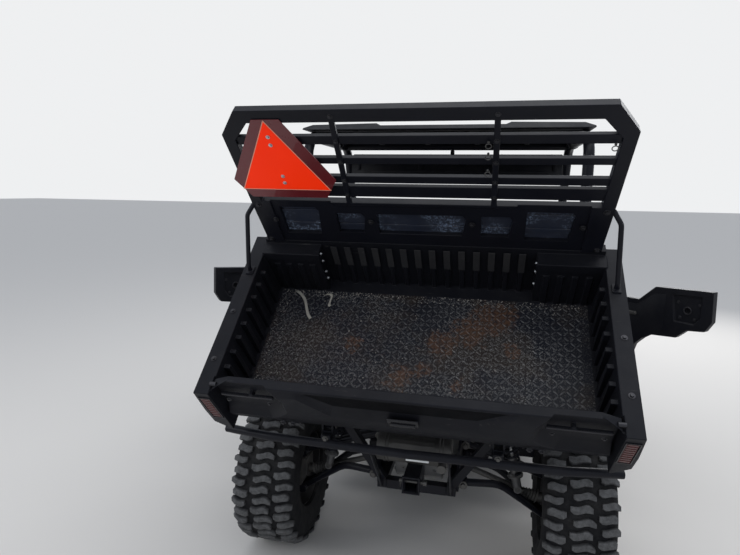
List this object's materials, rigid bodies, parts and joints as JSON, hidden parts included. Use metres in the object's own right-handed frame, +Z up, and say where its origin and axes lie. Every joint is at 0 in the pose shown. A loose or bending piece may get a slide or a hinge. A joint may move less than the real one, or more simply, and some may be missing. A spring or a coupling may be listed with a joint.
{
  "type": "side by side utility vehicle",
  "caption": "Side by side utility vehicle with a tipped cargo bed, bed rack, open half doors, roll cage and bench seat.",
  "frame": {"origin": "middle of the whole part's box, on the ground", "axes": "+X to the vehicle's right, +Y forward, +Z up"},
  "size_m": [2.7968, 3.1822, 2.0181],
  "materials": {
    "black_paint": "satin black powder coat",
    "black_plastic": "moulded black, light grain",
    "hood_plastic": "moulded black, smoother",
    "seat_cover": "black vinyl-coated cloth",
    "tyre_rubber": "dusty mud tyre",
    "rim_paint": "black painted steel",
    "cast_metal": "cast and machined, dusty",
    "shaft_steel": "dull steel",
    "shock_paint": "black",
    "strut_chrome": "polished",
    "sign_orange": "fluorescent film on sheet",
    "lamp_red": "smoked red lens",
    "lamp_clear": "clear lens",
    "mirror_back": "black shell"
  },
  "bodies": {
    "root": {"frame": "black_paint", "upper_frame": "black_paint", "skid_plate": "black_plastic", "powertrain": "cast_metal", "muffler": "shaft_steel", "rear_arms": "black_paint", "front_arms": "black_paint", "shocks": "shock_paint", "rear_carriers": "cast_metal", "drive_shafts": "shaft_steel", "rops": "black_paint", "roof": "black_plastic", "floor_pan": "black_plastic", "cab_back": "black_plastic", "side_panels": "black_plastic", "seat_base": "black_plastic", "seat_cushion": "seat_cover", "seat_backs": "seat_cover", "dash": "black_plastic", "controls": "black_plastic", "mirror": "mirror_back", "hood": "hood_plastic", "front_fascia": "black_plastic", "headlamps": "lamp_clear", "front_fenders": "black_plastic", "brush_guard": "black_paint", "rear_bumper": "black_paint", "hitch_receiver": "black_paint"},
    "bed": {"bed_tub": "black_plastic", "tail_lamps": "lamp_red", "bed_rack": "black_paint", "smv_sign": "sign_orange"},
    "tailgate": {"tailgate": "black_plastic"},
    "steering_wheel": {"steering_wheel": "black_plastic"},
    "tie_rods": {"tie_rods": "black_paint"},
    "strut_barrel": {"strut_barrel": "shock_paint"},
    "strut_rod": {"strut_rod": "strut_chrome"},
    "knuckle_left": {"knuckle_left": "cast_metal"},
    "door_left": {"door_left": "black_plastic"},
    "wheel_front_left": {"tyre_front_left": "tyre_rubber", "rim_front_left": "rim_paint"},
    "wheel_rear_left": {"tyre_rear_left": "tyre_rubber", "rim_rear_left": "rim_paint"},
    "knuckle_right": {"knuckle_right": "cast_metal"},
    "door_right": {"door_right": "black_plastic"},
    "wheel_front_right": {"tyre_front_right": "tyre_rubber", "rim_front_right": "rim_paint"},
    "wheel_rear_right": {"tyre_rear_right": "tyre_rubber", "rim_rear_right": "rim_paint"}
  },
  "joints": [
    {"name": "steer_left", "type": "hinge", "parent": "root", "child": "knuckle_left", "pos_m": [-0.6, 1.148, 0.345], "axis": [0, 0, 1], "range_deg": [-28, 28]},
    {"name": "steer_right", "type": "hinge", "parent": "root", "child": "knuckle_right", "pos_m": [0.6, 1.148, 0.345], "axis": [0, 0, 1], "range_deg": [-28, 28]},
    {"name": "roll_front_left", "type": "hinge", "parent": "knuckle_left", "child": "wheel_front_left", "pos_m": [-0.675, 1.148, 0.345], "axis": [1, 0, 0], "continuous": true},
    {"name": "roll_rear_left", "type": "hinge", "parent": "root", "child": "wheel_rear_left", "pos_m": [-0.66, -0.912, 0.345], "axis": [1, 0, 0], "continuous": true},
    {"name": "roll_front_right", "type": "hinge", "parent": "knuckle_right", "child": "wheel_front_right", "pos_m": [0.675, 1.148, 0.345], "axis": [1, 0, 0], "continuous": true},
    {"name": "roll_rear_right", "type": "hinge", "parent": "root", "child": "wheel_rear_right", "pos_m": [0.66, -0.912, 0.345], "axis": [1, 0, 0], "continuous": true},
    {"name": "steering_wheel_turn", "type": "hinge", "parent": "root", "child": "steering_wheel", "pos_m": [-0.43, 0.128, 1.165], "axis": [0, -0.8829, 0.4695], "range_deg": [-253, 253]},
    {"name": "rack_slide", "type": "slide", "parent": "root", "child": "tie_rods", "axis": [1, 0, 0], "range_m": [-0.058, 0.058]},
    {"name": "bed_tilt", "type": "hinge", "parent": "root", "child": "bed", "pos_m": [0, -1.3015, 0.761], "axis": [1, 0, 0], "range_deg": [-42.2, 0]},
    {"name": "tailgate_hinge", "type": "hinge", "parent": "bed", "child": "tailgate", "pos_m": [0, -1.38452, 0.80046], "axis": [1, 0, 0], "range_deg": [0, 90]},
    {"name": "door_hinge_left", "type": "hinge", "parent": "root", "child": "door_left", "pos_m": [-0.745, 0.378, 0.8], "axis": [0, 0, -1], "range_deg": [-45, 20]},
    {"name": "door_hinge_right", "type": "hinge", "parent": "root", "child": "door_right", "pos_m": [0.745, 0.378, 0.8], "axis": [0, 0, 1], "range_deg": [-45, 20]},
    {"name": "strut_swing", "type": "hinge", "parent": "root", "child": "strut_barrel", "pos_m": [0.27, -0.652, 0.425], "axis": [1, 0, 0], "range_deg": [-0.5, 3.84]},
    {"name": "strut_slide", "type": "slide", "parent": "strut_barrel", "child": "strut_rod", "axis": [0, -0.7264, 0.6873], "range_m": [-0.1436, 0.003]}
  ],
  "couplings": [
    {"joint": "steer_right", "follows": "steer_left", "ratio": 1},
    {"joint": "steering_wheel_turn", "follows": "steer_left", "ratio": 9},
    {"joint": "rack_slide", "follows": "steer_left", "m_per_rad": 0.11528},
    {"joint": "strut_swing", "follows": "bed_tilt", "ratio": -0.086575},
    {"joint": "strut_slide", "follows": "bed_tilt", "m_per_rad": 0.19086}
  ]
}
